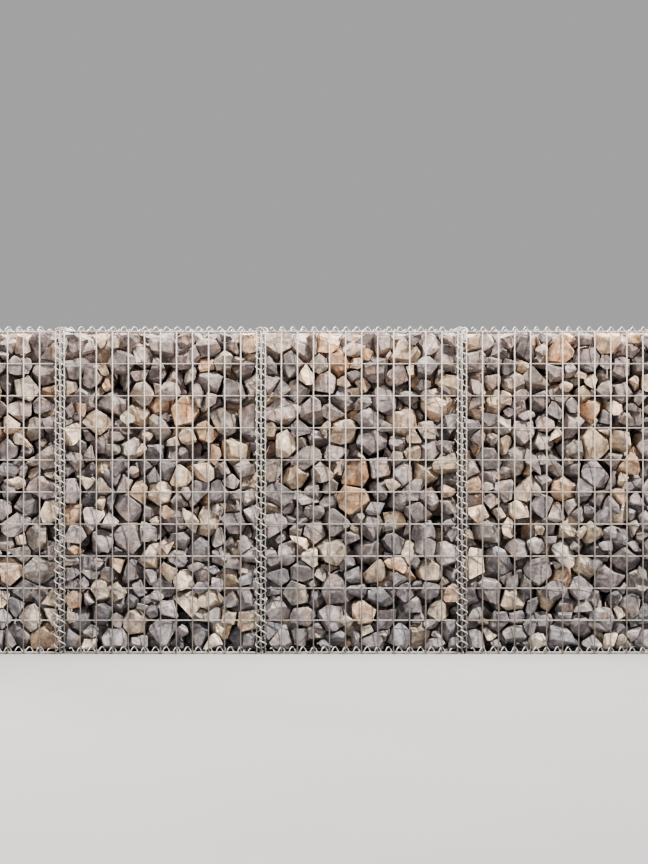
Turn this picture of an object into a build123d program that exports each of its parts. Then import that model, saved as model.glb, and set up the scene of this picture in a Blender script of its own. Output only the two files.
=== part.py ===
from build123d import *
import math
import os

# A stone-filled gabion wall, built as a row of equal welded mesh baskets that share
# their side panels. +X runs along the wall, -Y is the front and z = 0 is the ground.
# Every basket has six mesh panels, and left-handed wire spirals lace the panels'
# edge wires together. All lengths are in millimetres.

# Mesh
mesh_width = 50.0  # between the line wires, which are upright in the walls
mesh_height = 100.0  # between the cross wires
mesh_wire = 4.0  # thickness of line wires and cross wires
columns = 12  # meshes along one basket
rows = 10  # meshes up the wall
depth_columns = 6  # meshes from front to back
lid_rows = 3  # strips between the lengthwise wires of a lid or base

# Row of baskets
baskets = 4
seam_spacing = 13.5  # from a side panel's wires to the edge wires beside it
panel_gap = 0.3  # between a panel and the one it stands against

# Spirals
spiral_wire = 2.8
spiral_clearance = 0.3  # between a spiral and the wires it holds
turns_per_mesh = 3  # turns in one mesh height
spiral_end_room = 8.0  # free length of edge wire past a spiral's last turn
top_spiral_lift = 5.0  # height of the top spirals' axes over the top wires

# Where each spiral starts along its edge, in turns. At these places its strands
# pass between the wires of every panel that it goes through.
front_seam_starts = (1.16, 0.66)
back_seam_starts = (0.58, 1.08)
corner_start = 0.66
bottom_start = 0.56
top_start = 0.70

# Stone fill
fill_chamfer = 28.0  # keeps the fill clear of the spirals along every edge

# Sizes that follow
basket_length = columns * mesh_width
basket_height = rows * mesh_height
basket_depth = depth_columns * mesh_width
basket_pitch = basket_length + 2 * seam_spacing
front_y = -basket_depth / 2

# A spiral's strands run round a square, half a seam spacing and a clearance out
# from the wires that they hold.
spiral_axis_offset = seam_spacing / 2
spiral_half_width = spiral_axis_offset + mesh_wire / 2 + spiral_clearance + spiral_wire / 2
spiral_pitch = mesh_height / turns_per_mesh
quarter_rise = spiral_pitch / 4

bottom_wire_z = spiral_wire + spiral_clearance + mesh_wire / 2
top_wire_z = bottom_wire_z + basket_height
middle_z = (bottom_wire_z + top_wire_z) / 2

# A lid or base fits between the front and back panels' cross wires.
lid_inset = 2 * mesh_wire + panel_gap
lid_depth = basket_depth - 2 * lid_inset

basket_centres = [(i - (baskets - 1) / 2) * basket_pitch for i in range(baskets)]
side_places = [(i - baskets / 2) * basket_pitch for i in range(baskets + 1)]


def welded_mesh(line_count, line_spacing, cross_count, cross_spacing):
    """A flat panel: line wires along Y, and cross wires along X behind them.

    The two layers meet face to face and are fused at every crossing, as the
    welds of the real panel do. The line wires' middle lies in the XY plane.
    """
    line_length = (cross_count - 1) * cross_spacing + mesh_wire
    cross_length = (line_count - 1) * line_spacing + mesh_wire
    with BuildPart() as panel:
        with GridLocations(line_spacing, 0, line_count, 1):
            Box(mesh_wire, line_length, mesh_wire)
        with BuildSketch(Plane.XY.offset(mesh_wire / 2)):
            with GridLocations(0, cross_spacing, 1, cross_count):
                Rectangle(cross_length, mesh_wire)
        extrude(amount=mesh_wire)
    return panel.part


def spiral(start_turns, edge_length):
    """A left-handed wire spiral about the Z axis, beside an edge of this length.

    z = 0 is the edge's first crossing wire. Each turn has four straight strands,
    on the right, the front, the left and the back in turn.
    """
    start = start_turns * spiral_pitch
    quarters = math.floor((edge_length - start - spiral_end_room) / quarter_rise)
    half = spiral_half_width
    corners = [(half, half), (half, -half), (-half, -half), (-half, half)]
    points = [(*corners[i % 4], start + i * quarter_rise) for i in range(quarters + 1)]
    with BuildPart() as coil:
        with BuildLine():
            path = Polyline(*points)
        with BuildSketch(Plane(origin=path @ 0, z_dir=path % 0)):
            RegularPolygon(spiral_wire / 2, 3)
        sweep(path=path, transition=Transition.RIGHT)
    return coil.part


def placed(part, plane):
    """A copy of the part, moved from the XY plane to another plane."""
    return part.moved(plane.location)


def write(part, name):
    """Label a finished piece and write it to its own STEP file."""
    part.label = name
    export_step(part, f"parts/{name}.step")


def write_group(parts, name):
    """Write like pieces that don't touch as one node."""
    write(Compound(children=parts), name)


os.makedirs("parts", exist_ok=True)

# Front, back, lid and base panels of every basket. The cross wires are on the
# inside of the walls and under the lid and base wires.
wall_panel = welded_mesh(columns + 1, mesh_width, rows + 1, mesh_height)
flat_panel = welded_mesh(columns + 1, mesh_width, lid_rows + 1, lid_depth / lid_rows)
for number, x in enumerate(basket_centres, start=1):
    front = Plane((x, front_y, middle_z), x_dir=(1, 0, 0), z_dir=(0, 1, 0))
    back = Plane((x, -front_y, middle_z), x_dir=(1, 0, 0), z_dir=(0, -1, 0))
    lid = Plane((x, 0, top_wire_z + mesh_wire), x_dir=(1, 0, 0), z_dir=(0, 0, -1))
    base = Plane((x, 0, bottom_wire_z + mesh_wire), x_dir=(1, 0, 0), z_dir=(0, 0, -1))
    write(placed(wall_panel, front), f"front_panel_{number}")
    write(placed(wall_panel, back), f"back_panel_{number}")
    write(placed(flat_panel, lid), f"lid_{number}")
    write(placed(flat_panel, base), f"base_{number}")

# Side panels: one at each end of the wall and one shared at every seam.
side_panel = welded_mesh(depth_columns + 1, mesh_width, rows + 1, mesh_height)
for number, x in enumerate(side_places):
    inward = -1 if number == baskets else 1
    side = Plane((x, 0, middle_z), x_dir=(0, 1, 0), z_dir=(inward, 0, 0))
    if number == 0:
        name = "left_end_panel"
    elif number == baskets:
        name = "right_end_panel"
    else:
        name = f"partition_{number}"
    write(placed(side_panel, side), name)

# Stone fill of each basket, between its panels.
fill_length = basket_pitch - 3 * mesh_wire - 2 * panel_gap
fill_depth = basket_depth - 3 * mesh_wire - 2 * panel_gap
fill_bottom = bottom_wire_z + 3 * mesh_wire / 2
fill_top = top_wire_z - mesh_wire / 2
with BuildPart() as fill:
    with BuildSketch(Plane.XY.offset(fill_bottom)):
        Rectangle(fill_length, fill_depth)
    extrude(amount=fill_top - fill_bottom)
    chamfer(fill.edges(), fill_chamfer)
for number, x in enumerate(basket_centres, start=1):
    write(fill.part.moved(Location((x, 0, 0))), f"stone_fill_{number}")


def upright_spiral(start_turns, x, y, facing_back=False):
    """A spiral up a seam or a corner. At the back it is turned half round."""
    x_dir = (-1, 0, 0) if facing_back else (1, 0, 0)
    plane = Plane((x, y, bottom_wire_z), x_dir=x_dir, z_dir=(0, 0, 1))
    return placed(spiral(start_turns, basket_height), plane)


# Two spirals interleave at each seam: each joins one basket's edge wire to the
# partition's edge wire.
for number in range(1, baskets):
    x = side_places[number]
    left = x - spiral_axis_offset
    right = x + spiral_axis_offset
    front_pair = [
        upright_spiral(front_seam_starts[0], left, front_y),
        upright_spiral(front_seam_starts[1], right, front_y),
    ]
    back_pair = [
        upright_spiral(back_seam_starts[0], right, -front_y, facing_back=True),
        upright_spiral(back_seam_starts[1], left, -front_y, facing_back=True),
    ]
    write_group(front_pair, f"front_seam_spirals_{number}")
    write_group(back_pair, f"back_seam_spirals_{number}")

# One spiral up each corner of the wall.
left_x = side_places[0] + spiral_axis_offset
right_x = side_places[-1] - spiral_axis_offset
write(upright_spiral(corner_start, left_x, front_y), "front_left_corner_spiral")
write(upright_spiral(corner_start, right_x, front_y), "front_right_corner_spiral")
write(upright_spiral(corner_start, left_x, -front_y, True), "back_left_corner_spiral")
write(upright_spiral(corner_start, right_x, -front_y, True), "back_right_corner_spiral")


def long_spirals(start_turns, z, facing_back=False):
    """Spirals along the wall's front or back edge at height z, one a basket."""
    side = -1 if facing_back else 1
    coil = spiral(start_turns, basket_length)
    y = side * (front_y + spiral_axis_offset)
    coils = []
    for x in basket_centres:
        first_wire = (x - side * basket_length / 2, y, z)
        plane = Plane(first_wire, x_dir=(0, -side, 0), z_dir=(side, 0, 0))
        coils.append(placed(coil, plane))
    return coils


bottom_axis_z = bottom_wire_z + spiral_axis_offset
top_axis_z = top_wire_z + top_spiral_lift
write_group(long_spirals(bottom_start, bottom_axis_z), "bottom_front_spirals")
write_group(long_spirals(bottom_start, bottom_axis_z, True), "bottom_back_spirals")
write_group(long_spirals(top_start, top_axis_z), "top_front_spirals")
write_group(long_spirals(top_start, top_axis_z, True), "top_back_spirals")
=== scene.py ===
"""A gabion wall: four welded mesh baskets in a row, laced with wire spirals and
filled with broken quarry stone. +X runs along the wall and -Y is its front."""
import itertools
import math
import random

import bmesh
import bpy
import numpy as np
from mathutils import Euler, Matrix, Vector, geometry, noise


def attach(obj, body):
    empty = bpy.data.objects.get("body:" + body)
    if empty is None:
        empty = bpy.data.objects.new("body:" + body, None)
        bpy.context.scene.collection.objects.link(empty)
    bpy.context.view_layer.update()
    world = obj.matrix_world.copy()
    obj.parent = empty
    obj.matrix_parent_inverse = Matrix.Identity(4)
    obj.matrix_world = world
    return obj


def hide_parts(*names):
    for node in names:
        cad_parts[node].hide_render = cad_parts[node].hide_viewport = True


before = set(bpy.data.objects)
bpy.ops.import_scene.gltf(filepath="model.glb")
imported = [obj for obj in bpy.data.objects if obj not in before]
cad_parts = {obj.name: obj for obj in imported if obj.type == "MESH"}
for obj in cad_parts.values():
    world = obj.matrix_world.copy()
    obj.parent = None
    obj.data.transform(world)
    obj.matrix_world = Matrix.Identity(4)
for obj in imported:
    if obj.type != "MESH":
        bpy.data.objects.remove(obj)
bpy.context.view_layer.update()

# Sizes of the wall, in metres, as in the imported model.
MM = 0.001
MESH_WIDTH = 50 * MM
MESH_HEIGHT = 100 * MM
COLUMNS = 12  # meshes along one basket
ROWS = 10  # meshes up the wall
DEPTH_COLUMNS = 6  # meshes from front to back
LID_STRIPS = 3  # strips between the lengthwise wires of a lid or base
BASKETS = 4
SEAM_SPACING = 13.5 * MM  # from a side panel's wires to the edge wires beside it
CLEARANCE = 0.3 * MM  # between a panel or a spiral and the wires beside it

WIRE_RADIUS = 2 * MM
WELD_SINK = 0.4 * MM  # how deep the weld presses one wire into the other
SPIRAL_WIRE_RADIUS = 1.4 * MM
SPIRAL_RADIUS = 10.4 * MM  # to the middle of the wire
SPIRAL_PITCH = MESH_HEIGHT / 3

BASKET_LENGTH = COLUMNS * MESH_WIDTH
BASKET_PITCH = BASKET_LENGTH + 2 * SEAM_SPACING
HALF_DEPTH = DEPTH_COLUMNS * MESH_WIDTH / 2
LID_STRIP = 2 * (HALF_DEPTH - 4 * WIRE_RADIUS - CLEARANCE) / LID_STRIPS

# Heights of the lowest and highest cross wires of the walls, and halfway between.
BOTTOM_WIRE = 2 * SPIRAL_WIRE_RADIUS + CLEARANCE + WIRE_RADIUS
TOP_WIRE = BOTTOM_WIRE + ROWS * MESH_HEIGHT
MIDDLE = (BOTTOM_WIRE + TOP_WIRE) / 2

BASKET_CENTRES = [(i - (BASKETS - 1) / 2) * BASKET_PITCH for i in range(BASKETS)]
SIDE_PLACES = [(i - BASKETS / 2) * BASKET_PITCH for i in range(BASKETS + 1)]

X, Y, Z = Vector((1, 0, 0)), Vector((0, 1, 0)), Vector((0, 0, 1))


class Value:
    """A node's output, on which ordinary sums add Math nodes."""

    def __init__(self, nodes, socket):
        self.nodes = nodes
        self.socket = socket

    def maths(self, operation, first, second):
        return self.nodes.add(
            "ShaderNodeMath", {"operation": operation}, {0: first, 1: second}
        )

    def __add__(self, other):
        return self.maths("ADD", self, other)

    def __radd__(self, other):
        return self.maths("ADD", other, self)

    def __sub__(self, other):
        return self.maths("SUBTRACT", self, other)

    def __rsub__(self, other):
        return self.maths("SUBTRACT", other, self)

    def __mul__(self, other):
        return self.maths("MULTIPLY", self, other)

    def __rmul__(self, other):
        return self.maths("MULTIPLY", other, self)

    def least(self, other):
        """The smaller of two values."""
        return self.maths("MINIMUM", self, other)

    def ramp(self, low, high):
        """0 below low, 1 above high, and smooth in between."""
        return self.nodes.add(
            "ShaderNodeMapRange",
            {"interpolation_type": "SMOOTHSTEP"},
            {"Value": self, "From Min": low, "From Max": high},
        )


class Nodes:
    """Adds nodes to one shader or geometry tree."""

    def __init__(self, tree):
        self.tree = tree

    def add(self, kind, settings=None, sockets=None, output=0):
        """A new node, with its settings first and then the values of its sockets."""
        node = self.tree.nodes.new(kind)
        for name, value in (settings or {}).items():
            setattr(node, name, value)
        for name, value in (sockets or {}).items():
            self.put(value, node.inputs[name])
        return Value(self, node.outputs[output])

    def put(self, value, socket):
        """Link a value to a socket, or set a plain number or colour on it."""
        if isinstance(value, Value):
            self.tree.links.new(value.socket, socket)
        else:
            socket.default_value = value

    def out(self, value, output):
        """Another output of the node that a value comes from."""
        return Value(self, value.socket.node.outputs[output])

    def blend(self, mask, first, second, mode="MIX"):
        """The first colour where the mask is 0, and the second where it is 1."""
        mixed = self.add("ShaderNodeMix", {"data_type": "RGBA", "blend_type": mode})
        node = mixed.socket.node
        for index, value in ((0, mask), (6, first), (7, second)):
            self.put(value, node.inputs[index])
        return Value(self, node.outputs[2])

    def tinted(self, colour, tint):
        """A colour multiplied by another."""
        return self.blend(1.0, colour, tint, "MULTIPLY")

    def vector(self, operation, first, second=(0, 0, 0), output=0):
        return self.add(
            "ShaderNodeVectorMath", {"operation": operation}, {0: first, 1: second}, output
        )

    def combine(self, x, y, z):
        return self.add("ShaderNodeCombineXYZ", {}, {"X": x, "Y": y, "Z": z})

    def grain(self, place, scale, detail=2.0, roughness=0.5, distortion=0.0):
        """Noise from 0 to 1 at a scale in features per metre."""
        return self.add(
            "ShaderNodeTexNoise",
            {},
            {
                "Vector": place,
                "Scale": scale,
                "Detail": detail,
                "Roughness": roughness,
                "Distortion": distortion,
            },
        )

    def joined(self, shapes):
        """One geometry out of several."""
        join = self.tree.nodes.new("GeometryNodeJoinGeometry")
        for shape in shapes:
            self.tree.links.new(shape.socket, join.inputs[0])
        return Value(self, join.outputs[0])


# Materials.
def new_material(name):
    """An empty material, its nodes, its shader and its Object coordinates."""
    material = bpy.data.materials.new(name)
    material.use_nodes = True
    nodes = Nodes(material.node_tree)
    shader = material.node_tree.nodes["Principled BSDF"]
    place = nodes.add("ShaderNodeTexCoord", output="Object")
    return material, nodes, shader, place


def feed(nodes, shader, **sockets):
    """Give the shader's sockets their values, with _ for a space in their names."""
    for name, value in sockets.items():
        nodes.put(value, shader.inputs[name.replace("_", " ")])


def scaled(colour, share):
    """A colour times a share, and no brighter than 0.9."""
    return (*(min(channel * share, 0.9) for channel in colour), 1)


def zinc_material(name, colour, shine, metal, gloss):
    """Galvanised wire: a dull zinc skin with faint spangle and white bloom."""
    material, nodes, shader, place = new_material(name)
    spangle = nodes.add(
        "ShaderNodeTexVoronoi", {"feature": "F1"}, {"Vector": place, "Scale": 260.0},
        "Color",
    )
    fleck = nodes.add("ShaderNodeSeparateColor", {}, {"Color": spangle})
    cloud = nodes.grain(place, 45.0, 4.0, 0.6)
    bloom = nodes.grain(place, 150.0, 5.0, 0.7).ramp(0.52, 0.72)
    skin = nodes.blend(
        fleck * 0.35 + cloud * 0.65, scaled(colour, 0.72), scaled(colour, 1.18)
    )
    skin = nodes.blend(bloom * 0.35, skin, scaled(colour, 1.5))
    bump = nodes.add(
        "ShaderNodeBump", {}, {"Strength": 0.35, "Distance": 0.3 * MM, "Height": cloud}
    )
    feed(
        nodes, shader, Base_Color=skin, Metallic=metal - bloom * 0.1,
        Roughness=shine + cloud * 0.18 + bloom * 0.2, Normal=bump, Specular_IOR_Level=gloss,
    )
    return material


def stone_material():
    """Broken quarry stone, each with its own colour, bedding and dust."""
    material, nodes, shader, place = new_material("quarry_stone")
    own = nodes.add("ShaderNodeAttribute", {"attribute_name": "stone_shift"}, output="Vector")
    bed = nodes.add("ShaderNodeAttribute", {"attribute_name": "stone_bed"}, output="Vector")
    tint = nodes.add("ShaderNodeAttribute", {"attribute_name": "stone_tint"}, output="Color")
    place = nodes.vector("ADD", place, own)
    iron = nodes.grain(place, 15.0, 3.0, 0.6)
    patches = nodes.grain(place, 28.0, 5.0, 0.6, 0.3)
    rust = nodes.grain(place, 60.0, 4.0, 0.65)
    mottle = nodes.grain(place, 90.0, 3.0, 0.65)
    crumbs = nodes.grain(place, 240.0, 4.0, 0.7)
    pits = nodes.grain(place, 620.0, 2.0, 0.6)

    # Bedding shows as thin layers across one direction of each stone.
    height = nodes.vector("DOT_PRODUCT", place, bed, output="Value")
    warp = nodes.grain(place, 18.0)
    layers = nodes.add(
        "ShaderNodeTexNoise",
        {"noise_dimensions": "1D"},
        {"W": height + warp * 0.02, "Scale": 150.0, "Detail": 3.0, "Roughness": 0.6},
    )

    # Dark and pale patches, and smaller mottles.
    shade = nodes.blend(patches.ramp(0.42, 0.60), (0.60, 0.58, 0.59, 1), (1.12, 1.10, 1.07, 1))
    colour = nodes.tinted(tint, shade)
    speckle = nodes.blend(mottle.ramp(0.36, 0.64), (0.72, 0.71, 0.71, 1), (1.16, 1.15, 1.14, 1))
    colour = nodes.tinted(colour, speckle)

    # Warm iron stains, pale layers and rust, and painted shade darkening the hollows between the
    # crumbs.
    stained = nodes.tinted(colour, (1.24, 1.04, 0.84, 1))
    colour = nodes.blend(iron.ramp(0.54, 0.66) * 0.8, colour, stained)
    pale = nodes.tinted(colour, (1.30, 1.24, 1.16, 1))
    colour = nodes.blend(layers.ramp(0.30, 0.75) * 0.35, colour, pale)
    # Painted shade: the colour is darkened where the crumbs' bump sinks in.
    dark = nodes.tinted(colour, (0.58, 0.57, 0.58, 1))
    colour = nodes.blend((1 - crumbs.ramp(0.32, 0.66)) * 0.55, colour, dark)
    colour = nodes.blend(rust.ramp(0.60, 0.76) * 0.35, colour, (0.33, 0.20, 0.11, 1))

    # Dust on the faces that look up.
    up = nodes.add("ShaderNodeNewGeometry", output="Normal")
    lift = nodes.add("ShaderNodeSeparateXYZ", {}, {"Vector": up}, "Z")
    dust = lift.ramp(0.25, 0.95) * patches.ramp(0.30, 0.60)
    colour = nodes.blend(dust * 0.25, colour, (0.52, 0.49, 0.45, 1))

    relief = patches * 0.5 + mottle * 0.25 + crumbs * 0.3 + layers * 0.2 + pits * 0.12
    bump = nodes.add(
        "ShaderNodeBump", {}, {"Strength": 0.9, "Distance": 4 * MM, "Height": relief}
    )
    feed(
        nodes, shader, Base_Color=colour, Roughness=0.80 + crumbs * 0.18, Normal=bump,
        Specular_IOR_Level=0.3,
    )
    return material


mesh_zinc = zinc_material("mesh_zinc", (0.287, 0.259, 0.243), 0.60, 0.10, 0.15)
spiral_zinc = zinc_material("spiral_zinc", (0.49, 0.472, 0.455), 0.36, 0.25, 0.5)
stone_finish = stone_material()


# Trees that make the wire parts.
ROD_SIDES = 10
WELD_SIZE = 1.25  # a weld's radius, as a share of the wire's
WELD_FLATNESS = 0.55
COIL_STEPS = 14  # in one turn of a spiral
COIL_SIDES = 7


def geometry_tree(name, inputs):
    """The nodes of a new Geometry Nodes tree, and its named inputs' values."""
    tree = bpy.data.node_groups.new(name, "GeometryNodeTree")
    for title, kind in inputs:
        tree.interface.new_socket(title, in_out="INPUT", socket_type=kind)
    tree.interface.new_socket("Geometry", in_out="OUTPUT", socket_type="NodeSocketGeometry")
    nodes = Nodes(tree)
    source = tree.nodes.new("NodeGroupInput")
    values = {title: Value(nodes, source.outputs[title]) for title, _ in inputs}
    return nodes, values


def close_tree(nodes, shape, material):
    """End a tree in Realize Instances and Set Material, and return it."""
    shape = nodes.add("GeometryNodeRealizeInstances", {}, {"Geometry": shape})
    shape = nodes.add(
        "GeometryNodeSetMaterial", {}, {"Geometry": shape, "Material": material}
    )
    sink = nodes.tree.nodes.new("NodeGroupOutput")
    nodes.tree.links.new(shape.socket, sink.inputs[0])
    return nodes.tree


def welded_mesh_tree():
    """A flat panel: line wires along Y, cross wires along X behind them, and a weld
    at every crossing. The line wires' middle lies in the XY plane."""
    nodes, value = geometry_tree(
        "welded mesh",
        [
            ("Line wires", "NodeSocketInt"),
            ("Line spacing", "NodeSocketFloat"),
            ("Line length", "NodeSocketFloat"),
            ("Cross wires", "NodeSocketInt"),
            ("Cross spacing", "NodeSocketFloat"),
            ("Cross length", "NodeSocketFloat"),
            ("Wire radius", "NodeSocketFloat"),
            ("Layer offset", "NodeSocketFloat"),
        ],
    )

    def wires(count, spacing, length, spread_along, turn, height):
        """Parallel wires, spread evenly about the middle."""
        start = (value[count] - 1) * value[spacing] * -0.5
        step = value[spacing]
        if spread_along == "X":
            first = nodes.combine(start, 0.0, height)
            offset = nodes.combine(step, 0.0, 0.0)
        else:
            first = nodes.combine(0.0, start, height)
            offset = nodes.combine(0.0, step, 0.0)
        row = nodes.add(
            "GeometryNodeMeshLine",
            {"mode": "OFFSET"},
            {"Count": value[count], "Start Location": first, "Offset": offset},
        )
        rod = nodes.add(
            "GeometryNodeMeshCylinder",
            {"fill_type": "NGON"},
            {"Vertices": ROD_SIDES, "Radius": value["Wire radius"], "Depth": value[length]},
        )
        rod = nodes.add(
            "GeometryNodeSetShadeSmooth", {},
            {"Geometry": rod, "Selection": nodes.out(rod, "Side")},
        )
        return nodes.add(
            "GeometryNodeInstanceOnPoints", {},
            {"Points": row, "Instance": rod, "Rotation": turn},
        )

    quarter = math.pi / 2
    lines = wires("Line wires", "Line spacing", "Line length", "X", (quarter, 0, 0), 0.0)
    crosses = wires(
        "Cross wires", "Cross spacing", "Cross length", "Y", (0, quarter, 0),
        value["Layer offset"],
    )
    crossings = nodes.add(
        "GeometryNodeMeshGrid", {},
        {
            "Size X": (value["Line wires"] - 1) * value["Line spacing"],
            "Size Y": (value["Cross wires"] - 1) * value["Cross spacing"],
            "Vertices X": value["Line wires"],
            "Vertices Y": value["Cross wires"],
        },
    )
    between_layers = nodes.combine(0.0, 0.0, value["Layer offset"] * 0.5)
    crossings = nodes.add(
        "GeometryNodeTransform", {}, {"Geometry": crossings, "Translation": between_layers}
    )
    bead = nodes.add(
        "GeometryNodeMeshIcoSphere", {},
        {"Radius": value["Wire radius"] * WELD_SIZE, "Subdivisions": 1},
    )
    bead = nodes.add("GeometryNodeSetShadeSmooth", {}, {"Geometry": bead})
    welds = nodes.add(
        "GeometryNodeInstanceOnPoints", {},
        {"Points": crossings, "Instance": bead, "Scale": (1.0, 1.0, WELD_FLATNESS)},
    )
    return close_tree(nodes, nodes.joined([lines, crosses, welds]), mesh_zinc)


def spiral_tree():
    """A left-handed spiral up the Z axis that starts over the +X axis. Its two tips
    may curl inwards, as where the wire is closed by hand."""
    nodes, value = geometry_tree(
        "lacing spiral",
        [
            ("Turns", "NodeSocketFloat"),
            ("Pitch", "NodeSocketFloat"),
            ("Radius", "NodeSocketFloat"),
            ("Wire radius", "NodeSocketFloat"),
            ("Curl length", "NodeSocketFloat"),
            ("Tip share", "NodeSocketFloat"),
        ],
    )
    coil = nodes.add(
        "GeometryNodeCurveSpiral", {},
        {
            "Resolution": COIL_STEPS,
            "Rotations": value["Turns"],
            "Start Radius": value["Radius"],
            "End Radius": value["Radius"],
            "Height": value["Turns"] * value["Pitch"],
        },
    )
    here = nodes.add("GeometryNodeInputPosition")
    along = nodes.add("GeometryNodeSplineParameter", output="Length")
    whole = nodes.add("GeometryNodeSplineLength", output="Length")
    squeeze = nodes.add(
        "ShaderNodeMapRange",
        {"interpolation_type": "SMOOTHSTEP"},
        {
            "Value": along.least(whole - along),
            "From Max": value["Curl length"],
            "To Min": value["Tip share"],
            "To Max": 1.0,
        },
    )
    squeezed = nodes.vector("MULTIPLY", here, nodes.combine(squeeze, squeeze, 1.0))
    coil = nodes.add(
        "GeometryNodeSetPosition", {}, {"Geometry": coil, "Position": squeezed}
    )
    section = nodes.add(
        "GeometryNodeCurvePrimitiveCircle", {},
        {"Resolution": COIL_SIDES, "Radius": value["Wire radius"]},
    )
    wire = nodes.add(
        "GeometryNodeCurveToMesh", {},
        {"Curve": coil, "Profile Curve": section, "Fill Caps": True},
    )
    wire = nodes.add("GeometryNodeSetShadeSmooth", {}, {"Geometry": wire})
    return close_tree(nodes, wire, spiral_zinc)


def grown(tree, sizes):
    """The plain mesh that a tree makes from named sizes."""
    holder = bpy.data.objects.new("holder", bpy.data.meshes.new("holder"))
    bpy.context.scene.collection.objects.link(holder)
    modifier = holder.modifiers.new("nodes", "NODES")
    modifier.node_group = tree
    sockets = {
        item.name: item.identifier
        for item in tree.interface.items_tree
        if item.in_out == "INPUT"
    }
    for name, size in sizes.items():
        modifier[sockets[name]] = size
    depsgraph = bpy.context.evaluated_depsgraph_get()
    mesh = bpy.data.meshes.new_from_object(holder.evaluated_get(depsgraph))
    holder.modifiers.remove(modifier)
    bpy.data.objects.remove(holder)
    return mesh


# Placing meshes and making pieces of them.
def at(origin, x_axis, y_axis, z_axis):
    """The matrix that moves a mesh from the XY plane to another place."""
    turn = Matrix((x_axis, y_axis, z_axis)).transposed().to_4x4()
    return Matrix.Translation(origin) @ turn


def placed(mesh, matrix):
    """A copy of the mesh, moved by the matrix."""
    copy = mesh.copy()
    copy.transform(matrix)
    return copy


def piece(name, meshes, replaced=()):
    """One finished piece out of meshes of one material that are already in place."""
    if len(meshes) == 1:
        whole = meshes[0]
    else:
        joined_mesh = bmesh.new()
        for mesh in meshes:
            joined_mesh.from_mesh(mesh)
        whole = bpy.data.meshes.new(name)
        joined_mesh.to_mesh(whole)
        joined_mesh.free()
        whole.materials.append(meshes[0].materials[0])
    whole.name = name
    thing = bpy.data.objects.new(name, whole)
    bpy.context.scene.collection.objects.link(thing)
    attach(thing, "root")
    if replaced:
        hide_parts(*replaced)


# Welded mesh panels.
def panel_mesh(panel_maker, line_count, line_spacing, cross_count, cross_spacing):
    return grown(
        panel_maker,
        {
            "Line wires": line_count,
            "Line spacing": line_spacing,
            "Line length": (cross_count - 1) * cross_spacing + 2 * WIRE_RADIUS,
            "Cross wires": cross_count,
            "Cross spacing": cross_spacing,
            "Cross length": (line_count - 1) * line_spacing + 2 * WIRE_RADIUS,
            "Wire radius": WIRE_RADIUS,
            "Layer offset": 2 * WIRE_RADIUS - WELD_SINK,
        },
    )


def add_panels():
    """The front, back, lid and base of every basket, and then the side panels. The
    cross wires are on the inside of the walls and under the lid and base wires."""
    maker = welded_mesh_tree()
    wall_mesh = panel_mesh(maker, COLUMNS + 1, MESH_WIDTH, ROWS + 1, MESH_HEIGHT)
    flat_mesh = panel_mesh(maker, COLUMNS + 1, MESH_WIDTH, LID_STRIPS + 1, LID_STRIP)
    side_mesh = panel_mesh(maker, DEPTH_COLUMNS + 1, MESH_WIDTH, ROWS + 1, MESH_HEIGHT)

    for number, x in enumerate(BASKET_CENTRES, start=1):
        front = at((x, -HALF_DEPTH, MIDDLE), X, -Z, Y)
        back = at((x, HALF_DEPTH, MIDDLE), X, Z, -Y)
        lid = at((x, 0, TOP_WIRE + 2 * WIRE_RADIUS), X, -Y, -Z)
        base = at((x, 0, BOTTOM_WIRE + 2 * WIRE_RADIUS), X, -Y, -Z)
        for node, mesh, matrix in (
            ("front_panel", wall_mesh, front),
            ("back_panel", wall_mesh, back),
            ("lid", flat_mesh, lid),
            ("base", flat_mesh, base),
        ):
            name = f"{node}_mesh_{number}"
            piece(name, [placed(mesh, matrix)], [f"{node}_{number}"])

    names = {0: "left_end_panel", BASKETS: "right_end_panel"}
    for number, x in enumerate(SIDE_PLACES):
        if number == BASKETS:
            side = at((x, 0, MIDDLE), -Y, Z, -X)
        else:
            side = at((x, 0, MIDDLE), Y, Z, X)
        node = names.get(number, f"partition_{number}")
        piece(f"{node}_mesh", [placed(side_mesh, side)], [node])


# Lacing spirals. A phase is the angle at which a spiral starts, in turns from its
# x_axis. It is chosen so that the strands pass between the mesh wires.
UPRIGHT_TURNS = 29
UPRIGHT_START = BOTTOM_WIRE + 14 * MM
FRONT_SEAM_PHASES = (0.82, 0.32)
BACK_SEAM_PHASES = (0.31, 0.81)
FRONT_CORNER_PHASE = 0.24
BACK_CORNER_PHASE = 0.74
AXIS_OFFSET = SEAM_SPACING / 2  # from an edge wire to the axis of its spiral

EDGE_TURNS = 17
EDGE_START = BASKET_LENGTH / 2 - 15 * MM  # left of a basket's middle
EDGE_AXIS = HALF_DEPTH - AXIS_OFFSET
BOTTOM_AXIS = BOTTOM_WIRE + AXIS_OFFSET  # height
TOP_AXIS = TOP_WIRE + 5 * MM

# The spirals on the lids' short sides keep their full radius up to the tips. Those
# to the left of a partition are wider, and nearer to it.
LID_TURNS = 8
LID_START = -120 * MM - SPIRAL_PITCH / 2
LID_AXIS = 1008.6 * MM  # height
LID_AXIS_OFFSET = 8.75 * MM  # from a side panel's line wires
WIDE_RADIUS = 12.4 * MM
WIDE_AXIS = 1008 * MM  # height
WIDE_AXIS_OFFSET = 4.75 * MM

CURL_LENGTH = 14 * MM
CURLED_TIP = 0.45  # the radius at a curled tip, as a share of the spiral's
STRAIGHT_TIP = 1.0


def spiral_mesh(spiral_maker, turns, radius=SPIRAL_RADIUS, tip_share=CURLED_TIP):
    """A spiral whose tips curl in to a share of its radius."""
    return grown(
        spiral_maker,
        {
            "Turns": turns,
            "Pitch": SPIRAL_PITCH,
            "Radius": radius,
            "Wire radius": SPIRAL_WIRE_RADIUS,
            "Curl length": CURL_LENGTH,
            "Tip share": tip_share,
        },
    )


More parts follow.
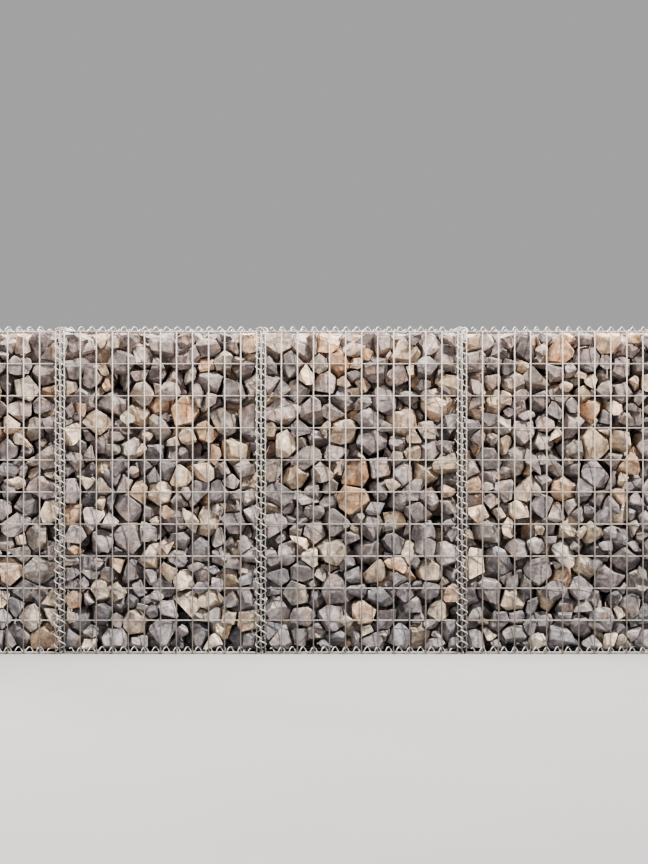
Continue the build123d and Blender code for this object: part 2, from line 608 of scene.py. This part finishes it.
def spiral_at(mesh, origin, phase, x_axis, y_axis, z_axis):
    """A copy of a spiral that starts at the origin and runs along z_axis."""
    turn = Matrix.Rotation(2 * math.pi * phase, 4, "Z")
    return placed(mesh, at(origin, x_axis, y_axis, z_axis) @ turn)


def add_upright_lacing(maker):
    """Two spirals at each seam, front and back, and one up each corner."""
    coil = spiral_mesh(maker, UPRIGHT_TURNS)

    def standing(x, y, phase):
        return spiral_at(coil, (x, y, UPRIGHT_START), phase, X, Y, Z)

    for number in range(1, BASKETS):
        x = SIDE_PLACES[number]
        for face, y, phases in (
            ("front", -HALF_DEPTH, FRONT_SEAM_PHASES),
            ("back", HALF_DEPTH, BACK_SEAM_PHASES),
        ):
            pair = [
                standing(x - AXIS_OFFSET, y, phases[0]),
                standing(x + AXIS_OFFSET, y, phases[1]),
            ]
            name = f"{face}_seam_lacing_{number}"
            piece(name, pair, [f"{face}_seam_spirals_{number}"])

    left = SIDE_PLACES[0] + AXIS_OFFSET
    right = SIDE_PLACES[-1] - AXIS_OFFSET
    for side, x in (("left", left), ("right", right)):
        for face, y, phase in (
            ("front", -HALF_DEPTH, FRONT_CORNER_PHASE),
            ("back", HALF_DEPTH, BACK_CORNER_PHASE),
        ):
            name = f"{face}_{side}_corner"
            piece(f"{name}_lacing", [standing(x, y, phase)], [f"{name}_spiral"])


def add_edge_lacing(maker):
    """One spiral a basket along each long edge of the wall."""
    coil = spiral_mesh(maker, EDGE_TURNS)
    for title, y, z, phase in (
        ("bottom_front", -EDGE_AXIS, BOTTOM_AXIS, 0.30),
        ("bottom_back", EDGE_AXIS, BOTTOM_AXIS, 0.31),
        ("top_front", -EDGE_AXIS, TOP_AXIS, 0.37),
        ("top_back", EDGE_AXIS, TOP_AXIS, 0.23),
    ):
        row = [spiral_at(coil, (x - EDGE_START, y, z), phase, Y, Z, X) for x in BASKET_CENTRES]
        piece(f"{title}_lacing", row, [f"{title}_spirals"])


def add_lid_side_lacing(maker):
    """One spiral along each short side of every lid."""
    coil = spiral_mesh(maker, LID_TURNS, tip_share=STRAIGHT_TIP)
    wide_coil = spiral_mesh(maker, LID_TURNS, WIDE_RADIUS, STRAIGHT_TIP)

    def lying(mesh, x, z, phase):
        return spiral_at(mesh, (x, LID_START, z), phase, Z, X, Y)

    spirals = []
    for number, x in enumerate(SIDE_PLACES):
        if number == BASKETS:
            spirals.append(lying(coil, x - LID_AXIS_OFFSET, LID_AXIS, 0.65))
        elif number > 0:
            spirals.append(lying(wide_coil, x - WIDE_AXIS_OFFSET, WIDE_AXIS, 0.85))
        if number < BASKETS:
            spirals.append(lying(coil, x + LID_AXIS_OFFSET, LID_AXIS, 0.55))
    piece("lid_side_lacing", spirals)


# Stone fill. Each basket holds one packing of convex stones: every stone is a set
# of broken faces round its middle, cut back where a neighbour stands.
FILL = Vector((307.2, 143.7, 496.0)) * MM  # half sizes of the space between panels
FILL_MIDDLE = MIDDLE + WIRE_RADIUS  # height of the space's middle
CHAMFER = 15 * MM  # keeps the stones clear of the spirals along every edge
STONE_GAP = 1.2 * MM
HALF_TURNS = {2: "Z", 3: "Y", 4: "X"}  # the axis that a basket's packing is turned about

# Sizes of stones, as a radius in millimetres, and how many of each are tried.
STONE_SIZES = ((50, 60), (43, 130), (37, 200), (31, 230), (24, 250), (17, 240))
PLACES_TRIED = 60  # for each stone
SMALL_STONE = 26  # millimetres; stones below this size lie near the sides
SMALL_STONE_DEPTH = 75 * MM
BUCKET = 100 * MM  # side of the cubes in which a stone's neighbours are looked up

# Stones left out near the sides leave dark pockets.
POCKET_SHARE = 0.11
POCKET_DEPTH = 20 * MM
POCKET_LEAST = 18 * MM
POCKET_MOST = 38 * MM

# How each stone is broken and worn.
BROKEN_FACES = (5, 8)  # the fewest and the most that one stone has of its own
SLAB_LIMIT = 0.22  # a random number below this makes a slab
SHARD_LIMIT = 0.42  # and one between the two limits a shard on end
GOLDEN_ANGLE = 2.39996  # spreads faces evenly round a middle
NEIGHBOUR_REACH = 1.5  # how far off a stone still cuts another, in sums of radii
PLANE_LIMIT = 1e-5  # for taking two planes as one
CORNER_LIMIT = 1e-6  # how far outside a plane a corner may lie
SHORTEST_EDGE = 3 * MM
LONGEST_EDGE = 26 * MM
FLAT_ANGLE = math.radians(4)
SHARP_ANGLE = math.radians(17)
SHOWN_DEPTH = 30 * MM  # how far inside a stone may start and still show

PACKING_SEED = 7
POCKET_SEED = 5
TINT_SEED = 11

GREYS = [
    (0.300, 0.262, 0.255), (0.250, 0.228, 0.232), (0.345, 0.300, 0.290),
    (0.205, 0.190, 0.196), (0.330, 0.295, 0.268), (0.270, 0.238, 0.240),
]
TANS = [
    (0.545, 0.435, 0.330), (0.575, 0.465, 0.360), (0.495, 0.400, 0.310),
    (0.600, 0.500, 0.400), (0.505, 0.355, 0.250),
]
WARM_SHARE = 0.22
EVEN_HEIGHT = 0.55  # where in the wall the stones' colours aren't shifted
PAINTED_LIGHT_SHIFT = 0.14  # painted light: towards warm for each metre up, and bluer below


def direction(z, angle):
    """The direction with a height z and an angle about the Z axis."""
    flat = math.sqrt(1 - z * z)
    return Vector((flat * math.cos(angle), flat * math.sin(angle), z))


def random_direction(rng):
    z = rng.uniform(-1, 1)
    angle = rng.uniform(0, 2 * math.pi)
    return direction(z, angle)


def depth_inside(middle):
    """How far a point in a basket is from the nearest side of the space."""
    return min(FILL[axis] - abs(middle[axis]) for axis in range(3))


def stones_near(buckets, key):
    """The stones in one bucket and in those round it."""
    keys = itertools.product(*((part - 1, part, part + 1) for part in key))
    return [stone for near_key in keys for stone in buckets.get(near_key, ())]


def spread_stones(rng):
    """Middles and radii of stones, the large ones first, in a basket's space."""
    sizes = [size for size, count in STONE_SIZES for _ in range(count)]
    found = []
    buckets = {}
    for size in sizes:
        radius = size * rng.uniform(0.92, 1.12) * MM
        spacing = rng.uniform(0.70, 0.90)
        room = FILL - Vector((0.7, 0.84, 0.7)) * radius * rng.uniform(0.9, 1.1)
        for _ in range(PLACES_TRIED):
            middle = Vector([rng.uniform(-room[axis], room[axis]) for axis in range(3)])
            if size < SMALL_STONE and depth_inside(middle) > SMALL_STONE_DEPTH:
                continue
            key = tuple(math.floor(part / BUCKET) for part in middle)
            if all(
                (middle - place).length > spacing * (radius + other)
                for place, other in stones_near(buckets, key)
            ):
                found.append((middle, radius))
                buckets.setdefault(key, []).append((middle, radius))
                break
    return found


def plane(normal, point):
    """The plane through a point, as its normal and its offset."""
    return Vector((*normal, -normal.dot(point)))


def space_planes():
    """The sides of the basket's space, and its chamfers along the edges."""
    planes = []
    for axis, sign in itertools.product(range(3), (-1, 1)):
        way = Vector((0, 0, 0))
        way[axis] = sign
        planes.append(plane(way, way * FILL[axis]))
    for first, second in itertools.combinations(range(3), 2):
        reach = (FILL[first] + FILL[second] - CHAMFER) / math.sqrt(2)
        for signs in itertools.product((-1, 1), repeat=2):
            way = Vector((0, 0, 0))
            way[first], way[second] = signs
            way.normalize()
            planes.append(plane(way, way * reach))
    return planes


def stone_form(rng):
    """How far a stone reaches along each axis, as shares of its radius."""
    form = rng.random()
    if form < SLAB_LIMIT:
        return Vector((1.5, 1.0, rng.uniform(0.55, 0.7)))
    if form < SHARD_LIMIT:
        return Vector((rng.uniform(0.55, 0.75), 1.0, 1.5))
    return Vector((rng.uniform(0.9, 1.4), rng.uniform(0.9, 1.15), rng.uniform(0.8, 1.2)))


def broken_planes(rng, middle, radius):
    """A stone's own broken faces, all round its middle."""
    form = stone_form(rng)
    turn = Euler([rng.uniform(-0.6, 0.6) for _ in range(3)]).to_matrix()
    faces = rng.randint(*BROKEN_FACES)
    spin = rng.uniform(0, 2 * math.pi)
    planes = []
    for i in range(faces):
        way = direction(1 - 2 * (i + 0.5) / faces, spin + i * GOLDEN_ANGLE)
        way = (way + random_direction(rng) * 0.5).normalized()
        stretch = Vector((way.x * form.x, way.y * form.y, way.z * form.z)).length
        way = (turn @ way).normalized()
        planes.append(plane(way, middle + way * radius * stretch * rng.uniform(0.66, 1.10)))
    return planes


def side_planes(rng, middle, radius):
    """Leaning faces where a stone would reach through a side of the space."""
    planes = []
    for axis in range(3):
        depth = FILL[axis] - abs(middle[axis])
        if depth < radius:
            way = Vector((0, 0, 0))
            way[axis] = math.copysign(1, middle[axis])
            point = middle + way * depth * rng.uniform(0.8, 0.98)
            planes.append(plane((way + random_direction(rng) * 0.45).normalized(), point))
    return planes


def neighbour_planes(rng, index, stones):
    """Faces between a stone and its neighbours."""
    middle, radius = stones[index]
    planes = []
    for other, (place, size) in enumerate(stones):
        step = place - middle
        distance = step.length
        if other == index or distance > (radius + size) * NEIGHBOUR_REACH:
            continue
        share = 0.5 + 0.5 * (radius**2 - size**2) / distance**2
        way = step / distance
        lean = rng.uniform(0.0, 0.34)
        touch = middle + way * (distance * share - STONE_GAP - radius * lean * 0.4)
        planes.append(plane((way + random_direction(rng) * lean).normalized(), touch))
    return planes


def cut_solid(planes):
    """The closed convex shape that lies inside all planes."""
    points, _ = geometry.points_in_planes(planes, PLANE_LIMIT, CORNER_LIMIT)
    corners = []
    for point in points:
        if all((point - other).length > SHORTEST_EDGE for other in corners):
            corners.append(point)
    shape = bmesh.new()
    if len(corners) > 3:
        for corner in corners:
            shape.verts.new(corner)
        hull = bmesh.ops.convex_hull(shape, input=shape.verts, use_existing_faces=False)
        unused = {part for part in hull["geom_interior"] if isinstance(part, bmesh.types.BMVert)}
        bmesh.ops.delete(shape, geom=list(unused), context="VERTS")
        bmesh.ops.dissolve_limit(
            shape, angle_limit=FLAT_ANGLE, verts=shape.verts, edges=shape.edges
        )
    return shape


def cut_stones(rng):
    """Shape, middle and radius of every stone in a basket, about the space's middle."""
    stones = spread_stones(rng)
    space = space_planes()
    pockets = random.Random(POCKET_SEED)
    shapes = []
    for index, (middle, radius) in enumerate(stones):
        planes = space + broken_planes(rng, middle, radius)
        planes += side_planes(rng, middle, radius)
        planes += neighbour_planes(rng, index, stones)
        shape = cut_solid(planes)
        drawn = pockets.random() < POCKET_SHARE
        fitting = POCKET_LEAST < radius < POCKET_MOST
        pocket = drawn and fitting and depth_inside(middle) < radius + POCKET_DEPTH
        if pocket or len(shape.faces) < 4:
            shape.free()
            continue
        bmesh.ops.recalc_face_normals(shape, faces=shape.faces)
        shapes.append((shape, middle, radius))
    return shapes


def finish_stone(rng, shape, middle, radius):
    """Worn edges, uneven faces and triangles of a fitting size."""
    shows = depth_inside(middle) < radius + SHOWN_DEPTH
    if shows:
        bmesh.ops.bevel(
            shape, geom=list(shape.edges), offset=rng.uniform(0.6, 1.5) * MM, segments=1,
            profile=0.5, affect="EDGES", clamp_overlap=True,
        )
    bmesh.ops.triangulate(shape, faces=shape.faces)
    long_edges = [edge for edge in shape.edges if edge.calc_length() > LONGEST_EDGE]
    if shows and long_edges:
        bmesh.ops.subdivide_edges(shape, edges=long_edges, cuts=1)
        bmesh.ops.triangulate(shape, faces=shape.faces)
    shape.normal_update()
    own = random_direction(rng) * 10
    for vert in shape.verts:
        place = vert.co + own
        wave = noise.noise(place * 38) + noise.noise(place * 95) * 0.5
        vert.co += vert.normal * (wave - 0.6) * MM
    for edge in shape.edges:
        edge.smooth = edge.is_manifold and edge.calc_face_angle() < SHARP_ANGLE
    for face in shape.faces:
        face.smooth = True


def in_fixed_order(faces):
    """The same faces, each from its lowest corner and sorted, because the order in
    which Blender builds a hull changes from run to run."""
    turned = []
    for face in faces:
        lowest = face.index(min(face))
        turned.append(face[lowest:] + face[:lowest])
    return sorted(turned)


def packed_stones():
    """The stones of one basket, each as its points, faces, middle and sharp edges."""
    rng = random.Random(PACKING_SEED)
    stones = []
    for shape, middle, radius in cut_stones(rng):
        finish_stone(rng, shape, middle, radius)
        shape.verts.index_update()
        points = [vert.co.copy() for vert in shape.verts]
        faces = [[vert.index for vert in face.verts] for face in shape.faces]
        sharp = [[vert.index for vert in edge.verts] for edge in shape.edges if not edge.smooth]
        stones.append((points, in_fixed_order(faces), middle, sharp))
        shape.free()
    return stones


def stone_tint(rng, height):
    """A colour for one stone, with painted light: bluer low in the wall as if in shade, and
    warmer towards the top as if in sunlight.
    """
    warm = rng.random() < WARM_SHARE
    base = rng.choice(TANS if warm else GREYS)
    light = rng.uniform(0.62, 1.16)
    # Painted light: the colour is warmer higher up the wall and bluer lower down.
    shift = (height - EVEN_HEIGHT) * PAINTED_LIGHT_SHIFT
    return (base[0] * light * (1 + shift), base[1] * light, base[2] * light * (1 - shift))


def stone_mesh(name, stones, matrix, rng):
    """All stones of one basket as one mesh, with each stone's own attributes."""
    vertices, triangles, sharp = [], [], set()
    shifts, beds, tints = [], [], []
    for points, faces, middle, sharp_edges in stones:
        base = len(vertices)
        vertices.extend(matrix @ point for point in points)
        triangles.extend([base + i for i in face] for face in faces)
        sharp.update(tuple(sorted((base + a, base + b))) for a, b in sharp_edges)
        shift = random_direction(rng) * 20
        bed = (Z + random_direction(rng) * 0.7).normalized()
        tint = (*stone_tint(rng, (matrix @ middle).z), 1)
        shifts.extend([shift] * len(points))
        beds.extend([bed] * len(points))
        tints.extend([tint] * len(points))
    mesh = bpy.data.meshes.new(name)
    mesh.from_pydata(vertices, [], triangles)
    for title, kind, field, values in (
        ("stone_shift", "FLOAT_VECTOR", "vector", shifts),
        ("stone_bed", "FLOAT_VECTOR", "vector", beds),
        ("stone_tint", "FLOAT_COLOR", "color", tints),
    ):
        attribute = mesh.attributes.new(title, kind, "POINT")
        attribute.data.foreach_set(field, np.array([tuple(value) for value in values]).ravel())
    mesh.shade_smooth()
    flags = [tuple(sorted(edge.vertices)) in sharp for edge in mesh.edges]
    edge_flags = mesh.attributes.new("sharp_edge", "BOOLEAN", "EDGE")
    edge_flags.data.foreach_set("value", flags)
    mesh.materials.append(stone_finish)
    return mesh


def add_stones():
    """The same packing in every basket, each time turned to show another side."""
    stones = packed_stones()
    rng = random.Random(TINT_SEED)
    for number, x in enumerate(BASKET_CENTRES, start=1):
        matrix = Matrix.Translation((x, 0, FILL_MIDDLE))
        if number in HALF_TURNS:
            matrix = matrix @ Matrix.Rotation(math.pi, 4, HALF_TURNS[number])
        mesh = stone_mesh(f"stones_{number}", stones, matrix, rng)
        piece(f"stones_{number}", [mesh], [f"stone_fill_{number}"])


# Studio floor, lights and camera.
def add_studio_floor():
    mesh = bpy.data.meshes.new("studio_floor")
    reach = 30
    mesh.from_pydata(
        [(-reach, -reach, 0), (reach, -reach, 0), (reach, reach, 0), (-reach, reach, 0)],
        [], [(0, 1, 2, 3)],
    )
    material, nodes, shader, place = new_material("studio_floor")
    cloud = nodes.grain(place, 2.0, 3.0)
    feed(
        nodes, shader, Roughness=0.9,
        Base_Color=nodes.blend(cloud, (0.25, 0.247, 0.24, 1), (0.28, 0.275, 0.267, 1)),
    )
    mesh.materials.append(material)
    floor = bpy.data.objects.new("studio_floor", mesh)
    bpy.context.scene.collection.objects.link(floor)


def add_studio_dome():
    """A pale studio all round, brighter overhead and behind the wall."""
    world = bpy.data.worlds.new("studio")
    world.use_nodes = True
    nodes = Nodes(world.node_tree)
    background = world.node_tree.nodes["Background"]
    way = nodes.add("ShaderNodeTexCoord", output="Generated")
    up = nodes.add("ShaderNodeSeparateXYZ", {}, {"Vector": way}, "Z")
    behind = nodes.out(up, "Y")
    glow = nodes.blend(up.ramp(0.0, 0.9), (0.42, 0.42, 0.41, 1), (0.80, 0.82, 0.85, 1))
    glow = nodes.blend(behind.ramp(0.1, 0.9), glow, (1.6, 1.6, 1.6, 1))
    feed(nodes, background, Color=glow, Strength=0.23)
    bpy.context.scene.world = world


def add_light(name, place, target, size, power, colour):
    """A square lamp that looks at a target and doesn't show in a picture itself."""
    lamp = bpy.data.lights.new(name, "AREA")
    lamp.shape = "SQUARE"
    lamp.size = size
    lamp.energy = power
    lamp.color = colour
    thing = bpy.data.objects.new(name, lamp)
    thing.location = place
    thing.rotation_euler = (Vector(target) - Vector(place)).to_track_quat("-Z", "Y").to_euler()
    thing.visible_camera = False
    bpy.context.scene.collection.objects.link(thing)


def add_camera():
    """The photograph's view: level, square to the front and a little to the right."""
    lens = bpy.data.cameras.new("camera")
    lens.sensor_fit = "VERTICAL"
    lens.sensor_height = 36
    lens.lens = 94.9
    lens.shift_y = -0.044
    camera = bpy.data.objects.new("camera", lens)
    camera.location = (0.1963, -7.25, 0.811)
    camera.rotation_euler = (math.pi / 2, 0, 0)
    bpy.context.scene.collection.objects.link(camera)
    bpy.context.scene.camera = camera


add_panels()
spiral_maker = spiral_tree()
add_upright_lacing(spiral_maker)
add_edge_lacing(spiral_maker)
add_lid_side_lacing(spiral_maker)
add_stones()

add_studio_floor()
add_light("key_light", (6.6, -7.8, 11.3), (0, 0, 0.5), 0.3, 5250, (1.0, 0.965, 0.91))
add_light("top_light", (0.3, -0.4, 3.4), (0, 0, 0.9), 2.0, 310, (1.0, 0.98, 0.95))
add_light("back_light", (-4.2, 5.0, 3.2), (0, 0, 0.4), 2.5, 800, (0.97, 0.98, 1.0))
add_light("fill_light", (-2.2, -6.2, 1.2), (0, 0, 0.2), 2.5, 190, (0.96, 0.97, 1.0))
add_studio_dome()
add_camera()
bpy.context.scene.view_settings.look = "AgX - Medium High Contrast"
